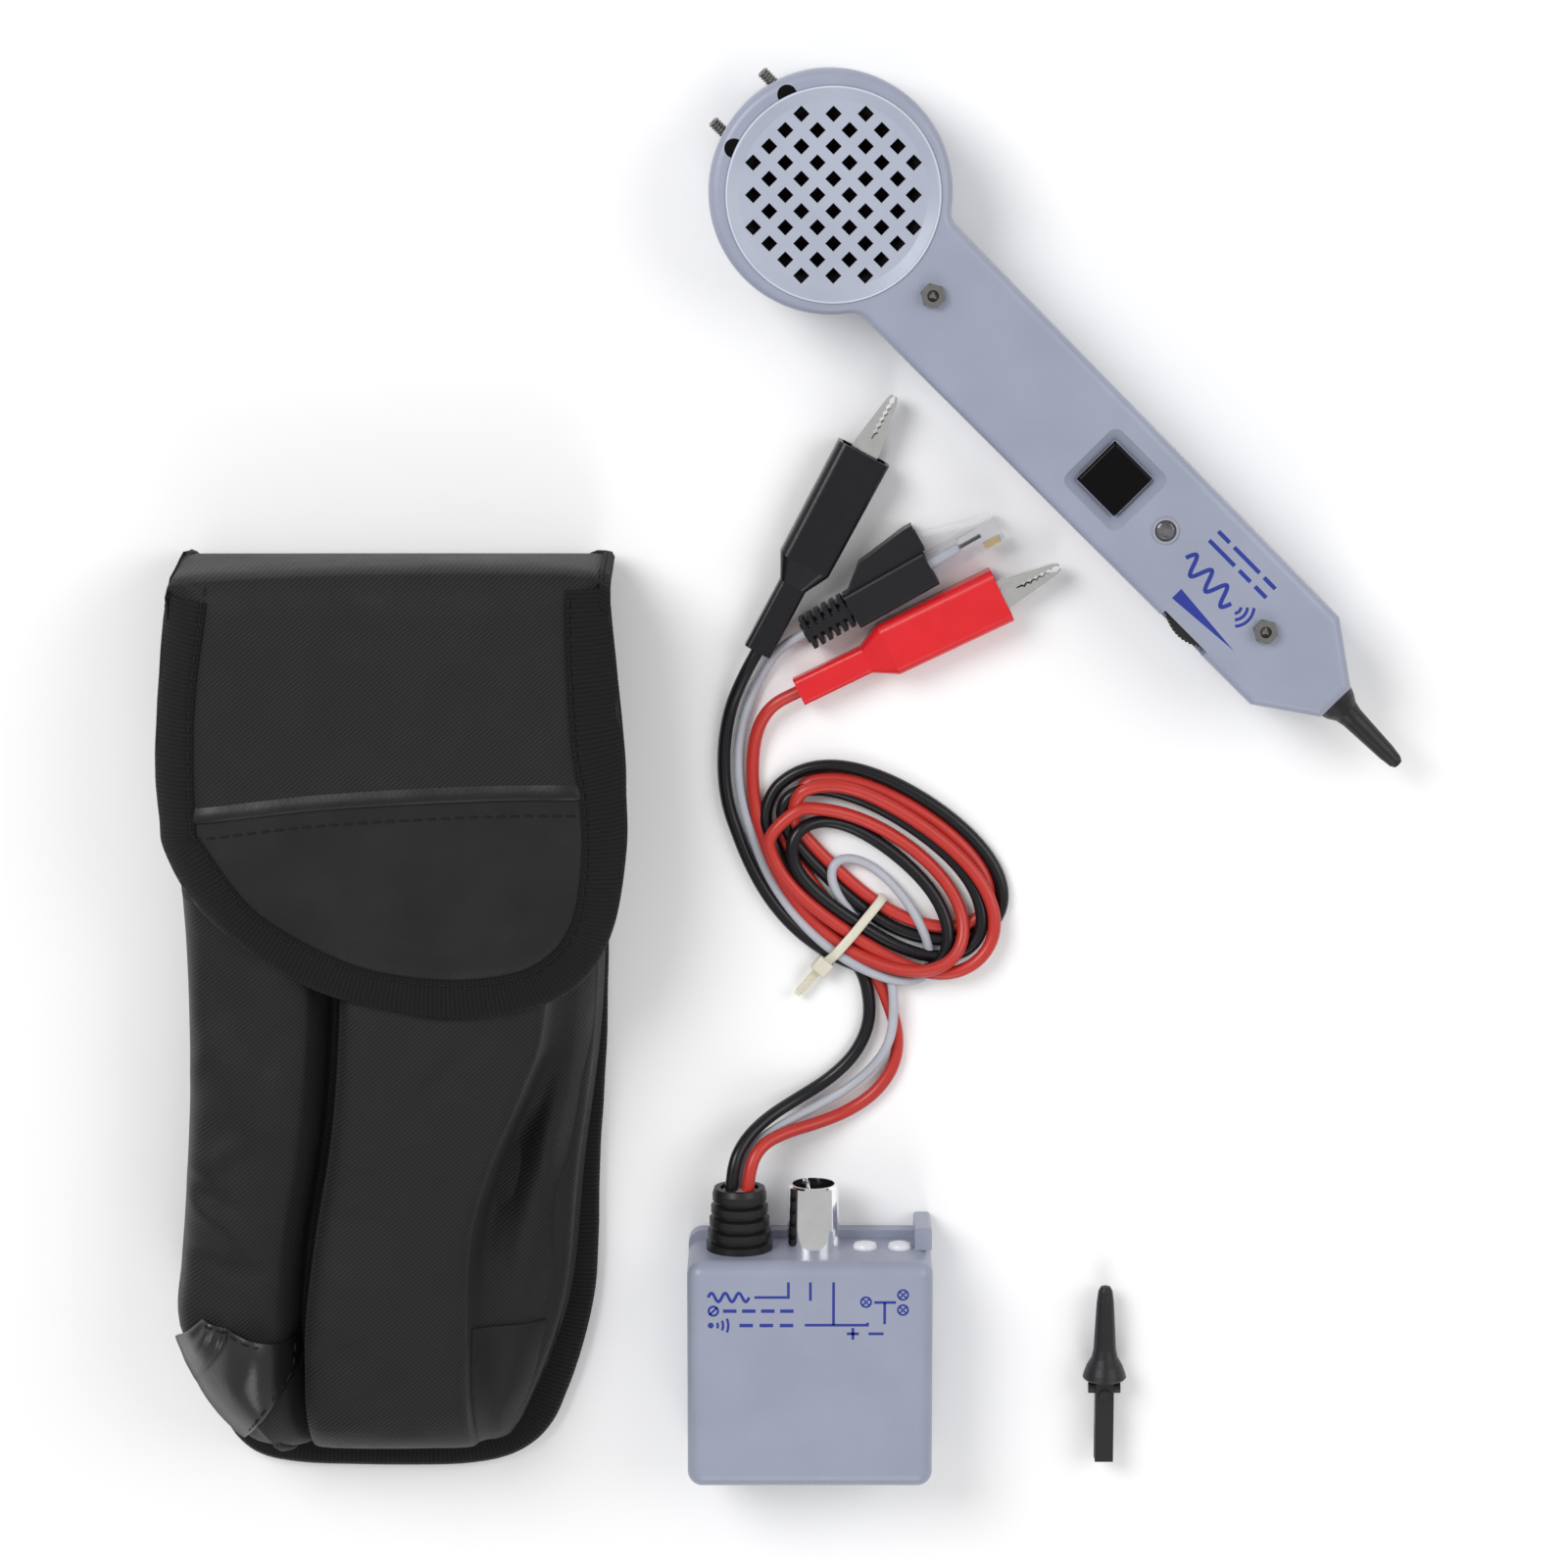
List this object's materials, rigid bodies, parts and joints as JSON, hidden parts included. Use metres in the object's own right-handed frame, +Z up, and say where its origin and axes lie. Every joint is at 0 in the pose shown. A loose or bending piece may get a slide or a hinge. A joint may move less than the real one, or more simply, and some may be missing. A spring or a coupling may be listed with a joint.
{
  "type": "tone probe kit",
  "caption": "Cable tracing kit laid out: inductive probe, spare tip, tone generator with clip and plug leads, flap pouch.",
  "frame": {"origin": "on the floor at the centre of the laid out kit", "axes": "+Z up from the floor, +Y from the pouch foot towards its mouth, +X from the pouch towards the spare tip"},
  "size_m": [0.3281, 0.3789, 0.0485],
  "materials": {
    "casing_grey": "fine moulded texture, light blue grey",
    "black_plastic": "smooth black",
    "tip_plastic": "charcoal moulded plastic",
    "wheel_plastic": "knurled black",
    "lamp_lens": "smoked lens",
    "bezel": "glossy grey ring",
    "white_lens": "milky translucent",
    "nickel": "bright nickel plate",
    "chrome_collar": "polished chrome",
    "brass_contact": "gold flashed",
    "board_green": "solder mask",
    "battery_can": "printed jacket",
    "snap_vinyl": "vinyl",
    "speaker_frame": "black frame and paper cone",
    "gland_rubber": "black ribbed rubber",
    "black_vinyl": "soft black PVC",
    "red_vinyl": "soft red PVC",
    "grey_vinyl": "flat grey PVC",
    "plug_black": "soft black boot",
    "clear_plastic": "clear moulding",
    "nylon_natural": "natural nylon",
    "pouch_twill": "black twill nylon",
    "binding_tape": "black grosgrain",
    "fastener_pile": "hook and loop"
  },
  "bodies": {
    "pouch": {"pouch_body": "pouch_twill", "pouch_pockets": "pouch_twill", "loop_patch": "fastener_pile", "belt_loop": "binding_tape"},
    "flap": {"pouch_flap": "pouch_twill", "flap_binding": "binding_tape", "hook_patch": "fastener_pile"},
    "probe": {"probe_front_shell": "casing_grey", "probe_rear_shell": "casing_grey", "speaker_grille": "casing_grey", "speaker": "speaker_frame", "probe_circuit_board": "board_green", "probe_battery": "battery_can", "probe_battery_snap": "snap_vinyl", "button_switch": "snap_vinyl", "volume_control": "snap_vinyl", "indicator_bezel": "bezel", "indicator_lamp": "lamp_lens", "housing_screws": "nickel", "housing_nuts": "nickel", "terminal_studs": "nickel", "terminal_plugs": "black_plastic", "probe_tip": "tip_plastic", "tip_contact": "brass_contact"},
    "button": {"power_button": "black_plastic"},
    "wheel": {"volume_wheel": "wheel_plastic"},
    "spare": {"spare_tip": "tip_plastic"},
    "generator": {"generator_front_shell": "casing_grey", "generator_back_cover": "casing_grey", "cover_screws": "nickel", "generator_board": "board_green", "generator_battery": "battery_can", "generator_battery_snap": "snap_vinyl", "lead_gland": "gland_rubber", "switch_collar": "chrome_collar", "switch_body": "black_plastic", "line_lamps": "white_lens", "black_lead_lower": "black_vinyl", "grey_lead_lower": "grey_vinyl", "red_lead_lower": "red_vinyl", "black_lead_upper": "black_vinyl", "grey_lead_upper": "grey_vinyl", "red_lead_upper": "red_vinyl", "lead_coil": "black_vinyl", "cable_tie": "nylon_natural", "black_clip_boot": "black_vinyl", "black_clip_fixed_jaw": "nickel", "black_clip_pin": "nickel", "black_clip_spring": "nickel", "red_clip_boot": "red_vinyl", "red_clip_fixed_jaw": "nickel", "red_clip_pin": "nickel", "red_clip_spring": "nickel", "plug_boot": "plug_black", "plug_body": "clear_plastic", "plug_contacts": "brass_contact"},
    "toggle": {"toggle_lever": "chrome_collar"},
    "black_jaw": {"black_clip_moving_jaw": "nickel"},
    "red_jaw": {"red_clip_moving_jaw": "nickel"},
    "latch": {"plug_latch": "clear_plastic"}
  },
  "joints": [
    {"name": "flap_open", "type": "hinge", "parent": "pouch", "child": "flap", "pos_m": [-0.1033, 0.061, 0.0042], "axis": [1, 0, 0], "range_deg": [-100, 0]},
    {"name": "probe_lift", "type": "slide", "parent": "pouch", "child": "probe", "axis": [0, 0, 1], "range_m": [0, 0.15]},
    {"name": "generator_lift", "type": "slide", "parent": "pouch", "child": "generator", "axis": [0, 0, 1], "range_m": [0, 0.15]},
    {"name": "spare_tip_lift", "type": "slide", "parent": "pouch", "child": "spare", "axis": [0, 0, 1], "range_m": [0, 0.15]},
    {"name": "power_press", "type": "slide", "parent": "probe", "child": "button", "axis": [0, 0, -1], "range_m": [0, 0.0012], "stiffness_N_per_m": 400, "springref_m": -0.0006},
    {"name": "volume_turn", "type": "hinge", "parent": "probe", "child": "wheel", "pos_m": [0.11055, 0.05038, 0.022], "axis": [0, 0, 1], "range_deg": [0, 270]},
    {"name": "toggle_throw", "type": "hinge", "parent": "generator", "child": "toggle", "pos_m": [0.0077, -0.1292, 0.0154], "axis": [0, 0, 1], "range_deg": [-26, 0]},
    {"name": "black_clip_open", "type": "hinge", "parent": "generator", "child": "black_jaw", "pos_m": [0.02181, 0.09074, 0.0062], "axis": [0, 0, 1], "range_deg": [0, 20], "stiffness_Nm_per_rad": 0.05, "springref_deg": -11.46},
    {"name": "red_clip_open", "type": "hinge", "parent": "generator", "child": "red_jaw", "pos_m": [0.05942, 0.05218, 0.0062], "axis": [0, 0, 1], "range_deg": [0, 20], "stiffness_Nm_per_rad": 0.05, "springref_deg": -11.46},
    {"name": "latch_press", "type": "hinge", "parent": "generator", "child": "latch", "pos_m": [0.05445, 0.07244, 0.0057], "axis": [0, 0, 1], "range_deg": [0, 8], "stiffness_Nm_per_rad": 0.05, "springref_deg": -2.86}
  ]
}
